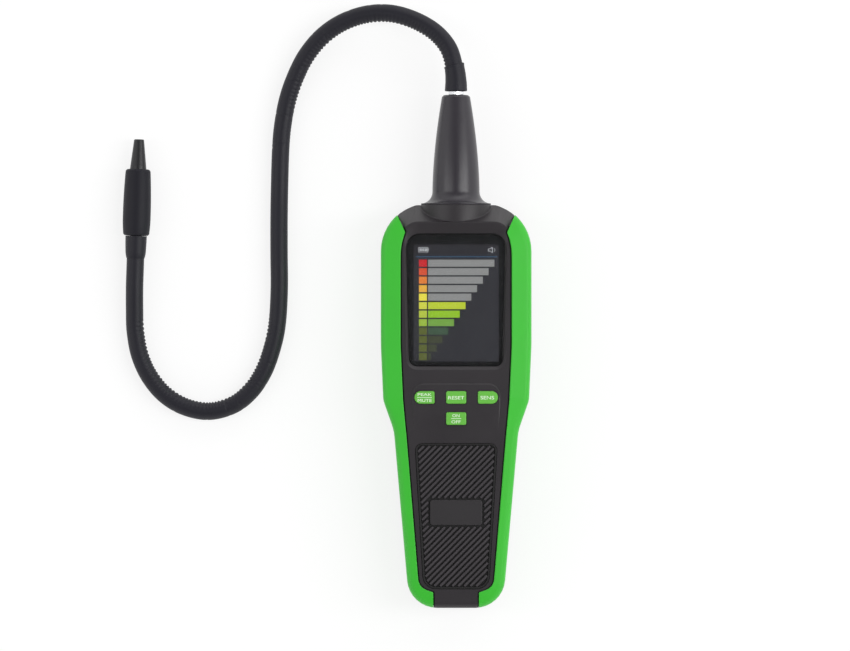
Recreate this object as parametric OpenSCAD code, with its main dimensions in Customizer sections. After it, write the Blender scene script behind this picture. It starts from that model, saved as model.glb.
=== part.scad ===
// Handheld refrigerant leak detector: a two-part housing between side bumpers, with a colour
// display, rubber keys and a ribbed grip, and a sensor probe on a gooseneck. It lies on its back.
// X runs across, Y from the foot to the spout and Z up out of the front face. Millimetres.

/* [Housing] */
// Length from the foot to the seat of the spout
body_len = 201; // [195:1:210]
// Greatest width, across the bumpers
head_w = 75; // [73:0.5:80]
// Width where the handle begins
waist_w = 62; // [59:0.5:66]
// Width at the foot, before its corners are rounded
foot_w = 46.5; // [45:0.5:50]
// Length of the handle, foot to waist
handle_len = 88.5; // [86:0.5:91]
// Length over which the handle widens into the head
flare_len = 15; // [13:0.5:18]
// Thickness through the head
body_t = 36; // [35:0.5:39]
// Thickness lost between the waist and the foot
handle_drop = 4; // [1:0.5:5]
// Wall thickness of the covers
wall = 2; // [1.6:0.1:2.4]
// Radius of the rear edge
back_r = 7; // [5:0.5:8]
// Radius of the corners at the foot
foot_r = 15; // [12:0.5:16]
// Radius of the shoulders
shoulder_r = 24; // [18:1:25]

/* [Bumpers] */
// Thickness of a bumper over the covers
bumper_t = 3; // [2.4:0.1:3.4]
// Width of a bumper's front face beside the display
rim_head = 10; // [9:0.5:11]
// Width of a bumper's front face at the top of the handle
rim_handle = 6.5; // [6:0.25:7.5]
// Width of a bumper's front face along the foot
rim_foot = 8; // [7:0.5:9]
// Width of the black tab between the bumpers at the foot
tab_w = 22.5; // [18:0.5:24]
// Height of the bumpers over the front face
bumper_proud = 1; // [0.6:0.1:1.2]
// Height lost across a bumper's front face, from its inner edge out to its rounded one
bumper_fall = 1.2; // [0.6:0.1:1.6]
// Radius of a bumper's front edge
bumper_r = 3.5; // [3:0.5:5]
// Length of the shallow finger recess in a bumper's side
finger_len = 42; // [30:1:44]

/* [Display] */
// Width of the lens at its top
lens_w = 50; // [48:0.5:50.5]
// Length of the lens
lens_len = 66; // [64:0.5:67]
// Thickness of the lens
lens_t = 1.5; // [1.2:0.1:1.8]
// Depth of the lens face below the front face
lens_sunk = 1.2; // [0.8:0.1:1.4]
// Width of the display glass
glass_w = 42.8; // [41:0.2:43.4]
// Length of the display glass
glass_len = 58.6; // [56:0.2:59]

/* [Keys] */
// Length of a key
key_w = 10; // [9:0.25:11]
// Width of a key
key_h = 6.25; // [5.5:0.25:7]
// Distance between keys in the upper row
key_pitch = 15.75; // [15:0.25:16]
// Distance between the two rows of keys
row_pitch = 10.5; // [9.5:0.25:11]
// Distance a key travels, and its height over the face
key_travel = 1; // [0.8:0.1:1.2]

/* [Grip pad] */
// Width of the pad at its top
pad_w = 41; // [39:0.5:42]
// Width of the pad at its foot
pad_foot_w = 32.5; // [31:0.5:33.5]
// Distance from the lowest key to the pad
pad_gap = 9.25; // [8:0.25:11]
// Distance from the foot to the pad
pad_foot_gap = 9.6; // [9.4:0.1:12]
// Distance from rib to rib
rib_pitch = 2.1; // [1.8:0.1:2.6]
// Width of a rib
rib_w = 1.2; // [0.9:0.1:1.4]

/* [Spout and gooseneck] */
// Length of the spout above its seat
spout_len = 55; // [50:1:60]
// Diameter of the spout's base
spout_base_d = 35; // [33:0.5:35.5]
// Diameter of the spout above its flare
spout_root_d = 23.6; // [22.5:0.1:24.5]
// Diameter of the spout at its top
spout_top_d = 14.2; // [13:0.1:15]
// Width across the flats of the hexagonal fitting
hex_af = 7.4; // [7:0.1:8]
// Height of the fitting that shows between spout and collar
hex_h = 2; // [1.5:0.1:2.5]
// Diameter of the gooseneck
hose_d = 8.8; // [8:0.1:9]
// Diameter of the collar at the gooseneck's root
collar_d = 11.2; // [10.4:0.1:12]

/* [Probe] */
// Length of the tapered sleeve behind the grip
sleeve_len = 11.4; // [9:0.2:13]
// Length of the probe's grip
grip_len = 33.4; // [30:0.2:36]
// Diameter of the probe's grip at its rear
grip_d = 14; // [13.6:0.1:14]
// Length of the nozzle
nozzle_len = 15; // [13:0.2:17]
// Diameter of the nozzle at its base
nozzle_d = 8.3; // [8:0.1:8.8]

/* [Power] */
// Diameter of the rechargeable cell
cell_d = 18.5; // [18:0.1:18.6]
// Length of the cell
cell_len = 65; // [64:0.2:65.4]

/* [Hidden] */
$fn = 64;
housing_black = [0.16, 0.15, 0.16];
rubber_black = [0.12, 0.12, 0.14];
bumper_green = [0.26, 0.75, 0.22];
key_green = [0.33, 0.70, 0.22];
metal_grey = [0.75, 0.76, 0.78];
board_green = [0.10, 0.35, 0.20];

// Clearances: seam between mouldings, fit of a loose piece, room beyond a cut
seam = 0.12;
fit = 0.2;
room = 5;

// Places along the length
total_len = body_len + spout_len;
foot_y = -total_len / 2;
seat_y = foot_y + body_len;
waist_y = foot_y + handle_len;
flare_y = waist_y + flare_len;
split_z = body_t / 2;
spout_z = body_t / 2;

// Outline of the housing: right side from foot to top, as x, y, corner radius and arc steps
head_lean = 1.2;
lean_len = 27.5;
shoulder_drop = 7;
crown_w = 40;
housing_side = [
  [foot_w / 2, foot_y, foot_r, 8],
  [waist_w / 2, waist_y, 25, 3],
  [head_w / 2 - head_lean, flare_y, 12, 3],
  [head_w / 2, flare_y + lean_len, 60, 1],
  [head_w / 2, seat_y - shoulder_drop, shoulder_r, 9],
  [crown_w / 2, seat_y, 5, 2],
];

// Outline of the part of the covers that shows between the bumpers, past the housing at both ends
brow_drop = 14;
brow_y = seat_y - brow_drop;
brow_w = 50.4;
brow_cut = [8.2, 18];
brow_curve = 6;
face_side = [
  [tab_w / 2, foot_y - room, 0.3, 1],
  [tab_w / 2, foot_y + rim_foot, 0.6, 2],
  [foot_w / 2 - rim_handle + 1.7, foot_y + rim_foot + 2.5, 6, 5],
  [waist_w / 2 - rim_handle, waist_y - 4, 40, 2],
  [head_w / 2 - head_lean - rim_head, flare_y, 20, 2],
  [head_w / 2 - rim_head, flare_y + lean_len, 60, 1],
  [head_w / 2 - rim_head, brow_y - brow_curve, 30, 5],
  [brow_w / 2, brow_y, 1.2, 3],
  [brow_w / 2 + brow_cut.x, brow_y + brow_cut.y, 0.3, 1],
];

// Flat top of the head; past it the crown slopes down to the split
crown_run = 8.6;
crown_corner = 9;
crown_len = 39;
crown_turn = seat_y - crown_run - crown_corner;
crown_side = [
  [head_w / 2 - rim_head + 0.2, seat_y - crown_len, 0.3, 1],
  [head_w / 2 - rim_head + 0.2, seat_y - crown_run, crown_corner, 8],
];

// Open groove between the face and the bumpers
groove_w = 0.55;
groove_h = 1.3;

// Layers of the front, from the face down
lip_t = 2.2;
face_r = 3;
ceiling_drop = lip_t + wall;
ceiling_z = body_t - ceiling_drop;
core_inset = bumper_t;
room_inset = bumper_t + wall;

// Display: lens in its pocket, glass in the window below it
lens_gap = 0.5;
lens_top = brow_y - lens_gap;
lens_foot = lens_top - lens_len;
lens_taper = 1.7;
lens_side = [
  [lens_w / 2 - lens_taper, lens_foot, 4, 5],
  [lens_w / 2, lens_top, 7, 6],
];
dish_wide = 1.3;
dish_high = 5;
lens_bottom = body_t - lens_sunk - lens_t;
glass_shift = 1.5;
glass_y = (lens_top + lens_foot) / 2 - glass_shift;
glass_gap = 0.3;
frame_margin = 2.4;

// Keys, the mat under them and the board that carries both
key_from_lens = 15.5;
key_y = lens_foot - key_from_lens;
key_places = [
  ["mute", -key_pitch, key_y],
  ["reset", 0, key_y],
  ["sens", key_pitch, key_y],
  ["power", 0, key_y - row_pitch],
];
flange_w = 0.9;
flange_t = 0.9;
flange_play = 0.3;
flange_top = ceiling_z - flange_play;
pill_t = 0.4;
pill_r = 2;
boss_h = 0.4;
pill_gap = 0.2;
board_top = flange_top - flange_t - boss_h - pill_t - key_travel - pill_gap;
board_t = 1.6;
board_w = 48;
mat_t = 0.7;
board_past_keys = 6.5;
board_from_seat = 9;
board_y = [key_y - row_pitch - key_h / 2 - board_past_keys, seat_y - board_from_seat];

// Grip pad, in a frame tilted with the handle's face and starting at the waist
handle_tilt = atan(handle_drop / handle_len);
pad_start = waist_y - (key_y - row_pitch - key_h / 2 - pad_gap);
pad_len = handle_len - pad_start - pad_foot_gap;
pad_fit = 0.2;
pad_depth = 1.2;
pad_floor = 0.6;
pad_rim = 1.4;
plate_w = 26;
plate_h = 12.6;
plate_y = -pad_start - 0.475 * pad_len;
plate_moat = 0.9;
pad_side = [
  [pad_foot_w / 2, -pad_start - pad_len, 6.5, 6],
  [pad_w / 2, -pad_start, 3.5, 4],
];

// Spout: seat, flange inside the neck, and the bore for the fitting's stem
neck_r = body_t / 2 - 0.2;
neck_len = 11;
neck_wall = room_inset;
spigot_r = 10.5;
flange_r = 12.6;
stem_r = 3.3;
stem_len = 10;
spout_bore_r = stem_r + 0.1;
flare_h = 6.8;
rim_h = 0.8;

// Gooseneck: middle line from the fitting to the probe, as x, y beyond the fitting and height.
// It falls from the spout's axis to the ground, and lifts again to the axis of the probe.
hose_r = hose_d / 2;
hose_start = seat_y + spout_len + hex_h;
hose_lie = hose_r + 0.1;
function fall(share) = spout_z + (hose_lie - spout_z) * share;
function lift(share) = hose_lie + (grip_d / 2 - hose_lie) * share;
hose_points = [
  [0, 0, fall(0)], [0, 3, fall(0)], [0, 6, fall(0)], [-1, 13, fall(0)], [-4, 22, fall(0.03)],
  [-11, 30, fall(0.08)], [-21.5, 36, fall(0.18)], [-33, 39.2, fall(0.3)], [-45, 38.8, fall(0.44)],
  [-57, 34.8, fall(0.58)], [-67, 28, fall(0.7)], [-75, 18.6, fall(0.81)], [-80.5, 8, fall(0.89)],
  [-84.4, -3, fall(0.95)], [-86.8, -15, fall(0.985)], [-88, -27, fall(1)], [-88.6, -45, fall(1)],
  [-88.9, -63, fall(1)], [-88.9, -81, fall(1)], [-88.8, -99, fall(1)], [-89.8, -116, fall(1)],
  [-92.2, -128, fall(1)], [-96.5, -140, fall(1)], [-103, -150, fall(1)], [-112, -157.2, fall(1)],
  [-124, -160.4, fall(1)], [-136, -158.2, fall(1)], [-146.2, -152.2, fall(1)], [-154, -143, lift(0)],
  [-159, -132, lift(0.05)], [-161.2, -120, lift(0.25)], [-161.5, -109, lift(0.65)],
  [-161.45, -98, lift(1)], [-161.2, -90, lift(1)], [-161, -83.5, lift(1)],
];
route_steps = 2;
collar_steps = 3 * route_steps;
hose_route = smooth([for (p = hose_points) [p.x, hose_start + p.y, p.z]], route_steps);
probe_foot = hose_route[len(hose_route) - 1];
probe_step = hose_points[len(hose_points) - 1] - hose_points[len(hose_points) - 2];
probe_lean = atan2(probe_step.x, probe_step.y);

// Power: cell, its tray in the rear cover, and the sliding door under it
door_t = 1.8;
door_gap = 0.3;
door_w = 22;
rail_w = 1.2;
rail_t = 0.8;
bay_slack = 0.35;
bay_r = cell_d / 2 + bay_slack;
tray_t = 1.4;
cell_z = door_gap + door_t + 0.4 + cell_d / 2;
spring_len = 5.5;
contact_t = 0.5;
nub_h = 1;
bay_from_foot = 10;
bay_y0 = foot_y + bay_from_foot;
bay_y1 = bay_y0 + contact_t + spring_len + cell_len + nub_h + contact_t;
door_lap = 2.5;
door_end = bay_y1 + door_lap;

// Screws that hold the covers together, from the back
post_r = 3.4;
screw_head_r = 2.7;
screw_head_h = 2;
screw_sunk = 4;
shank_r = 1.35;
screw_reach = 7;
post_inset = room_inset + post_r + 0.9;
post_from_seat = 25;
post_from_foot = 20;
handle_slope = (waist_w - foot_w) / 2 / handle_len;
post_places = [
  for (s = [-1, 1]) each [
    [s * (head_w / 2 - post_inset), seat_y - post_from_seat],
    [s * (foot_w / 2 + handle_slope * post_from_foot - post_inset), foot_y + post_from_foot],
  ]
];
board_screw_r = 1;
board_screw_reach = 2.2;
board_head_r = 2;
board_head_h = 1.4;
board_post_r = 2.4;
board_edge = 2.8;
board_post_x = [9.6, 18.4];
board_posts = [
  for (s = [-1, 1]) each [
    [s * board_post_x[1], board_y[1] - board_edge],
    [s * board_post_x[0], board_y[0] + board_edge],
  ]
];

// Buzzer on the back of the board, over its sound holes
buzzer_r = 6;
buzzer_h = 5;
buzzer_place = [10, lens_foot + buzzer_r];

// Geometry of rounded outlines

function unit(v) = v / norm(v);
function limit(x, low, high) = min(max(x, low), high);
function flat(p) = [p.x, p.y];
function before(list, i) = list[(i + len(list) - 1) % len(list)];
function after(list, i) = list[(i + 1) % len(list)];

// Closed outline from its right side, mirrored for the left
function both_sides(side) = concat(
  side, [for (i = [len(side) - 1:-1:0]) [-side[i].x, side[i].y, side[i][2], side[i][3]]]
);

function left_normal(a, b) = let (d = unit(flat(b) - flat(a))) [-d.y, d.x];

// Outline moved inwards by d; a corner that turns outwards loses that much radius
function inset(outline, d) = [
  for (i = [0:len(outline) - 1])
    let (
      a = before(outline, i), b = outline[i], c = after(outline, i),
      n1 = left_normal(a, b), n2 = left_normal(b, c),
      place = flat(b) + (n1 + n2) * d / (1 + n1 * n2),
      outward = cross(flat(b) - flat(a), flat(c) - flat(b)) > 0
    )
    [place.x, place.y, max(0.3, b[2] + (outward ? -d : d)), b[3]]
];

// Arc of n steps that rounds corner b between a and c to radius wish, or to what its edges have room for
function corner_arc(a, b, c, wish, n) =
  let (
    u = unit(a - b), v = unit(c - b),
    half = acos(limit(u * v, -1, 1)) / 2,
    r = min(wish, 0.9 * min(norm(a - b), norm(c - b)) * tan(half)),
    centre = b + unit(u + v) * r / sin(half),
    sweep = (180 - 2 * half) * (cross(b - a, c - b) > 0 ? 1 : -1),
    p0 = b + u * r / tan(half) - centre,
    start = atan2(p0.y, p0.x)
  )
  [for (k = [0:n]) centre + r * [cos(start + sweep * k / n), sin(start + sweep * k / n)]];

function rounded(outline) = [
  for (i = [0:len(outline) - 1])
    each corner_arc(
      flat(before(outline, i)), flat(outline[i]), flat(after(outline, i)),
      outline[i][2], outline[i][3]
    )
];

function outline_of(side, d = 0) = rounded(inset(both_sides(side), d));

// Outline of a bar whose left and right ends have their own corner radii
function bar_outline(w, h, left_r, right_r) = [
  [-w / 2, -h / 2, left_r, 6], [w / 2, -h / 2, right_r, 6],
  [w / 2, h / 2, right_r, 6], [-w / 2, h / 2, left_r, 6],
];

// Height of the front face, which falls from the waist to the foot
function front_z(y) = body_t - handle_drop * max(0, (waist_y - y) / handle_len);

// Ring of the housing's outline, moved in by d, at height z or at z over the front face
function ring_at(d, z) = [for (p = outline_of(housing_side, d)) [p.x, p.y, z]];
function ring_front(d, z) = [for (p = outline_of(housing_side, d)) [p.x, p.y, front_z(p.y) + z]];

// Rings of the front edge, rounded to radius r, with the top at height z over the front face
function front_edge(r, z, steps) = [
  for (k = [0:steps])
    let (a = 90 * k / steps)
    ring_front(r * (1 - cos(a)), z - r * (1 - sin(a)))
];

// Solid through rings of equal length that mirror left and right, with strips across both ends
module loft(rings) {
  n = len(rings[0]);
  top = (len(rings) - 1) * n;
  strips = [for (i = [0:n / 2 - 2]) [i, i + 1, n - 2 - i, n - 1 - i]];
  polyhedron(
    points = [for (ring = rings) each ring],
    faces = concat(
      strips,
      [
        for (k = [0:len(rings) - 2]) for (i = [0:n - 1])
          let (j = (i + 1) % n) [k * n + i, (k + 1) * n + i, (k + 1) * n + j, k * n + j]
      ],
      [for (s = strips) [top + s[3], top + s[2], top + s[1], top + s[0]]]
    )
  );
}

// Route through the same points with n steps from each to the next, on a Catmull-Rom spline
function between(a, b, c, d, t) =
  b + t / 2 * (c - a + t * (2 * a - 5 * b + 4 * c - d + t * (3 * b - a - 3 * c + d)));
function smooth(points, n) = concat(
  [
    for (i = [0:len(points) - 2]) for (k = [0:n - 1])
      between(points[max(i - 1, 0)], points[i], points[i + 1], points[min(i + 2, len(points) - 1)], k / n)
  ],
  [points[len(points) - 1]]
);

// Direction along a route at point i
function heading(route, i) = unit(route[min(i + 1, len(route) - 1)] - route[max(i - 1, 0)]);

// Tube round points first to last of a route, from radius r1 to r2; upright is never along the route
module tube(route, first, last, r1, r2, sides, upright = [0, 0, 1]) {
  count = last - first;
  polyhedron(
    points = [
      for (i = [0:count])
        let (
          t = heading(route, first + i), u = unit(cross(upright, t)), v = cross(t, u),
          r = r1 + (r2 - r1) * i / count
        )
        for (k = [0:sides - 1]) let (a = 360 * k / sides) route[first + i] + r * (cos(a) * u + sin(a) * v)
    ],
    faces = concat(
      [[for (k = [0:sides - 1]) k]],
      [
        for (i = [0:count - 1]) for (k = [0:sides - 1]) let (m = (k + 1) % sides)
          [i * sides + k, (i + 1) * sides + k, (i + 1) * sides + m, i * sides + m]
      ],
      [[for (k = [sides - 1:-1:0]) count * sides + k]]
    )
  );
}

// Frames: along the spout's axis, along the probe's axis, and on the handle's face
module on_spout(y = seat_y) translate([0, y, spout_z]) rotate([-90, 0, 0]) children();
module on_probe() translate(probe_foot) rotate([-90, 0, -probe_lean]) children();
module on_handle() translate([0, waist_y, body_t]) rotate([handle_tilt, 0, 0]) children();

module prism(points, z0, z1) translate([0, 0, z0]) linear_extrude(z1 - z0) polygon(points);
module block(low, high) translate(low) cube(high - low);

// Housing

module housing_plan() {
  polygon(outline_of(housing_side, core_inset));
  intersection() {
    polygon(outline_of(housing_side));
    polygon(outline_of(face_side));
  }
}

module neck(low_z, high_z) {
  intersection() {
    on_spout(seat_y - neck_len) cylinder(r = neck_r, h = neck_len);
    block([-neck_r, seat_y - neck_len - 1, low_z], [neck_r, seat_y + 1, high_z]);
  }
}

module spout_bore() {
  on_spout(seat_y - neck_wall - 1) cylinder(r = spigot_r + fit, h = neck_wall + 2);
}

// Front cover: block under the bumpers, face between them, neck and key ramp

// All that lies below the crown, moved in by d
module under_crown(d = 0) {
  brow = outline_of(crown_side, d);
  block([-head_w, foot_y - room, split_z - 1], [head_w, crown_turn, body_t + room]);
  prism(brow, split_z - 1, body_t + room);
  hull() {
    prism(brow, body_t - 0.02, body_t);
    prism(outline_of(crown_side, d - crown_run), split_z - 1, split_z);
  }
}

// What the crown's slope takes off the head, between the bumpers
module crown_cut() {
  difference() {
    prism(outline_of(face_side), split_z, body_t + 1);
    under_crown();
  }
}

// Room of the face between the bumpers, narrowed near its top by the groove
module face_room() {
  function ring(d, z) = [for (p = outline_of(face_side, d)) [p.x, p.y, front_z(p.y) + z]];
  foot = [for (p = outline_of(face_side)) [p.x, p.y, split_z]];
  loft([foot, ring(0, -groove_h), ring(groove_w, -groove_h), ring(groove_w, 1)]);
}

module face_block() {
  intersection() {
    loft(concat([ring_at(0, split_z)], front_edge(face_r, 0, 4)));
    face_room();
  }
}

module front_block() loft([ring_at(core_inset, split_z), ring_front(core_inset, -lip_t)]);

module front_room() {
  intersection() {
    loft([ring_at(room_inset, split_z - 1), ring_front(room_inset, -ceiling_drop)]);
    union() {
      under_crown(wall);
      on_spout(seat_y - neck_len) cylinder(r = neck_r - wall, h = neck_len);
    }
  }
}

module key_ramp() {
  ramp_w = 44;
  ramp_rise = 0.5;
  ramp_edge = 0.6;
  ramp_len = 16;
  ramp_corner = 6;
  ramp_top = key_y + 7;
  plan = bar_outline(ramp_w, ramp_len, ramp_corner, ramp_corner);
  hull() {
    translate([0, ramp_top - ramp_len / 2, body_t]) {
      prism(rounded(plan), -1, 0);
      prism(rounded(inset(plan, ramp_edge)), 0, ramp_rise);
    }
    translate([0, waist_y + 1, body_t - 1]) prism(rounded(bar_outline(ramp_w - 2, 2, 0.5, 0.5)), 0, 1);
  }
}

module lens_dish() {
  hull() {
    prism(outline_of(lens_side, -fit), body_t - lens_sunk, body_t - lens_sunk + 0.02);
    for (shift = [-0.5, dish_high - dish_wide])
      translate([0, shift, 0]) prism(outline_of(lens_side, -dish_wide), body_t, body_t + 0.5);
  }
}

module lens_pocket() prism(outline_of(lens_side, -fit), lens_bottom, body_t + 1);

module display_window() {
  translate([0, glass_y, 0])
    block([-glass_w / 2 - fit, -glass_len / 2 - fit, ceiling_z - 1],
          [glass_w / 2 + fit, glass_len / 2 + fit, body_t]);
}

function key_outline(name, grow = 0) =
  let (end_r = 0.9, round_r = key_h / 2 - 0.05)
  rounded(inset(bar_outline(
    key_w, key_h, name == "mute" ? round_r : end_r, name == "sens" ? round_r : end_r
  ), -grow));

module key_holes() {
  for (k = key_places)
    translate([k[1], k[2], 0]) prism(key_outline(k[0], fit), ceiling_z - 1, body_t + 2);
}

module pad_recess() {
  on_handle() prism(outline_of(pad_side, -pad_fit), -pad_depth, room);
}

module front_cover() {
  color(housing_black)
    difference() {
      union() {
        difference() {
          union() {
            difference() {
              union() {
                front_block();
                face_block();
              }
              crown_cut();
            }
            neck(split_z, body_t);
            key_ramp();
          }
          front_room();
        }
        for (p = post_places)
          translate([p.x, p.y, split_z])
            cylinder(r = post_r, h = front_z(p.y) - ceiling_drop + 0.5 - split_z);
        for (p = board_posts)
          translate([p.x, p.y, board_top])
            cylinder(r = board_post_r, h = front_z(p.y) - ceiling_drop + 0.5 - board_top);
      }
      lens_dish();
      lens_pocket();
      display_window();
      key_holes();
      pad_recess();
      spout_bore();
      for (p = post_places)
        translate([p.x, p.y, split_z - 1]) cylinder(r = shank_r + 0.05, h = screw_reach + 1.5);
      for (p = board_posts)
        translate([p.x, p.y, board_top - 1]) cylinder(r = board_screw_r + 0.05, h = board_screw_reach + 1.2);
    }
}

// Rear cover: dished shell, battery tray, screw posts

back_dish = [
  for (k = [0:5])
    let (a = 18 * k)
    ring_at(back_r * (1 - sin(a)), back_r * (1 - cos(a)))
];

module rear_shell() {
  difference() {
    union() {
      loft(back_dish);
      translate([0, 0, back_r]) linear_extrude(split_z - back_r) housing_plan();
      neck(0, split_z);
    }
    prism(outline_of(housing_side, room_inset), wall, split_z + 1);
  }
}

// Walls across the housing at both ends of the tray
module bulkheads() {
  intersection() {
    prism(outline_of(housing_side, room_inset - 0.5), wall / 2, split_z - 1);
    for (y = [bay_y0 - tray_t, bay_y1]) block([-head_w, y, 0], [head_w, y + tray_t, split_z]);
  }
}

// Section of the tray round the cell, in x and z, grown by t, with legs down to z0
module tray_section(t, z0) {
  translate([0, cell_z]) circle(r = bay_r + t);
  translate([-bay_r - t, z0]) square([2 * (bay_r + t), cell_z - z0]);
}

module along_y(y0, y1) translate([0, y1, 0]) rotate([90, 0, 0]) linear_extrude(y1 - y0) children();

module door_slot() {
  slot_z = door_gap + door_t + fit;
  block([-door_w / 2 - fit, foot_y - 1, -1], [door_w / 2 + fit, door_end + fit, slot_z]);
  block([-door_w / 2 - rail_w - fit, foot_y - 1, slot_z - rail_t - 2 * fit],
        [door_w / 2 + rail_w + fit, door_end + fit, slot_z]);
}

// Holes in the back that let the buzzer be heard
module sound_holes() {
  hole_r = 0.9;
  hole_pitch = 3.6;
  for (k = [0:6])
    translate([buzzer_place.x, buzzer_place.y, -1])
      rotate(60 * k) translate([k == 0 ? 0 : hole_pitch, 0, 0]) cylinder(r = hole_r, h = wall + 2, $fn = 32);
}

module rear_cover() {
  color(housing_black)
    difference() {
      union() {
        rear_shell();
        along_y(bay_y0 - tray_t, bay_y1 + tray_t) tray_section(tray_t, wall / 2);
        bulkheads();
        for (p = post_places) translate([p.x, p.y, wall / 2]) cylinder(r = post_r, h = split_z - wall / 2);
      }
      along_y(bay_y0, bay_y1) tray_section(0, -1);
      door_slot();
      sound_holes();
      spout_bore();
      for (p = post_places) translate([p.x, p.y, 0]) {
        translate([0, 0, -1]) cylinder(r = screw_head_r + fit, h = screw_sunk + 1);
        cylinder(r = shank_r + fit, h = split_z + 1);
      }
    }
}

// Bumpers: outer shell less the covers, one on each side

module bumper_shell() {
  difference() {
    loft(concat(
      [ring_at(0, back_r + seam)],
      front_edge(bumper_r, bumper_proud - bumper_fall, 6),
      [ring_front(rim_head + seam, bumper_proud)]
    ));
    prism(outline_of(face_side, -seam), 0, body_t + room);
    loft([ring_at(core_inset - seam, 0), ring_front(core_inset - seam, -lip_t + seam)]);
    for (s = [-1, 1]) scale([s, 1, 1]) finger_recess();
  }
}

module finger_recess() {
  depth = 0.5;
  height = 14;
  translate([head_w / 2 - depth, glass_y - 12, split_z]) rotate([0, 90, 0])
    prism(rounded(bar_outline(height, finger_len, 4, 4)), 0, room);
}

module bumper(side) {
  inner = side < 0 ? -head_w : 0;
  color(bumper_green)
    intersection() {
      bumper_shell();
      block([inner, foot_y - room, 0], [inner + head_w, seat_y + room, body_t + room]);
    }
}

module bumper_left() bumper(-1);
module bumper_right() bumper(1);

// Grip pad: thin floor, rim, slanting ribs and a plain raised plate

module rib_field() {
  reach = pad_len + pad_w;
  count = ceil(reach / rib_pitch / 2);
  translate([0, -pad_start - pad_len / 2])
    for (k = [-count:count])
      rotate(45) translate([-reach, k * rib_pitch - rib_w / 2]) square([2 * reach, rib_w]);
}

module grip_pad() {
  rib_h = 0.25;
  color(rubber_black) on_handle() {
    prism(outline_of(pad_side), -pad_depth, -pad_depth + pad_floor);
    translate([0, 0, -pad_depth]) linear_extrude(pad_depth) difference() {
      polygon(outline_of(pad_side));
      polygon(outline_of(pad_side, pad_rim));
    }
    translate([0, 0, -pad_depth + pad_floor - 0.1]) linear_extrude(pad_depth - pad_floor + 0.1 + rib_h)
      intersection() {
        difference() {
          polygon(outline_of(pad_side, pad_rim - 0.1));
          translate([0, plate_y]) polygon(rounded(bar_outline(
            plate_w + 2 * plate_moat, plate_h + 2 * plate_moat, 1.6, 1.6)));
        }
        rib_field();
      }
    translate([0, plate_y, -pad_depth])
      prism(rounded(bar_outline(plate_w, plate_h, 1, 1)), 0, pad_depth + 0.1);
  }
}

// Display

module screen_lens() {
  color([0.03, 0.03, 0.04]) prism(outline_of(lens_side), lens_bottom, lens_bottom + lens_t);
}

module display_module() {
  glass_top = lens_bottom - glass_gap;
  color(metal_grey) translate([0, glass_y, 0]) {
    block([-glass_w / 2, -glass_len / 2, ceiling_z - 1], [glass_w / 2, glass_len / 2, glass_top]);
    block([-glass_w / 2 - frame_margin, -glass_len / 2 - frame_margin, board_top],
          [glass_w / 2 + frame_margin, glass_len / 2 + frame_margin, ceiling_z - fit]);
  }
}

// Keys: cap, flange that stops it under the cover, and the boss that holds its contact pill

module key(name) {
  place = [for (k = key_places) if (k[0] == name) [k[1], k[2], 0]][0];
  color(key_green) translate(place) {
    prism(key_outline(name), flange_top - 0.1, body_t + key_travel);
    prism(key_outline(name, flange_w), flange_top - flange_t, flange_top);
    translate([0, 0, flange_top - flange_t - boss_h]) cylinder(r = pill_r, h = boss_h + 0.1);
  }
}

module pill(name) {
  place = [for (k = key_places) if (k[0] == name) k][0];
  color(rubber_black)
    translate([place[1], place[2], flange_top - flange_t - boss_h - pill_t]) cylinder(r = pill_r, h = pill_t);
}

module key_mute() key("mute");
module key_reset() key("reset");
module key_sens() key("sens");
module key_power() key("power");
module pill_mute() pill("mute");
module pill_reset() pill("reset");
module pill_sens() pill("sens");
module pill_power() pill("power");

module keypad_mat() {
  low = [-board_w / 2 + 0.5, board_y[0] + board_past_keys, board_top];
  color(rubber_black)
    difference() {
      block(low, [-low.x, key_y + key_h / 2 + 2, board_top + mat_t]);
      for (k = key_places) translate([k[1], k[2], board_top - 1]) cylinder(r = pill_r + 0.6, h = mat_t + 2);
    }
}

// Board and what it carries

module main_board() {
  color(board_green)
    difference() {
      block([-board_w / 2, board_y[0], board_top - board_t], [board_w / 2, board_y[1], board_top]);
      for (p = board_posts) translate([p.x, p.y, 0]) cylinder(r = board_screw_r + fit, h = body_t);
    }
}

module buzzer() {
  color(rubber_black)
    translate([buzzer_place.x, buzzer_place.y, board_top - board_t - buzzer_h]) difference() {
      cylinder(r = buzzer_r, h = buzzer_h);
      translate([0, 0, -1]) cylinder(r = 1, h = 2);
    }
}

socket_y = board_y[1] - 12;
socket_h = 5;

module sensor_socket() {
  color([0.9, 0.88, 0.8])
    block([-4, socket_y - 3, board_top - board_t - socket_h], [4, socket_y + 3, board_top - board_t]);
}

module sensor_lead() {
  lead_r = 1.4;
  lead_z = board_top - board_t - socket_h / 2;
  top_y = seat_y + spout_len - stem_len;
  route = [
    [0, top_y, spout_z], [0, top_y - 15, spout_z], [0, seat_y, spout_z], [0, seat_y - 5, spout_z + 0.4],
    [0, socket_y + 9, (spout_z + lead_z) / 2], [0, socket_y + 5, lead_z - 0.3], [0, socket_y + 3, lead_z],
  ];
  color("firebrick") tube(route, 0, len(route) - 1, lead_r, lead_r, 8);
}

// Power

module battery_cell() {
  color([0.2, 0.35, 0.65]) translate([0, bay_y0 + contact_t + spring_len, cell_z]) rotate([-90, 0, 0]) {
    cylinder(d = cell_d, h = cell_len);
    translate([0, 0, cell_len - 0.1]) cylinder(r = 3, h = nub_h + 0.1);
  }
}

module contact_plate(y) translate([-5, y, cell_z - 5]) cube([10, contact_t, 10]);

module battery_contact() color(metal_grey) contact_plate(bay_y1 - contact_t);

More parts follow.
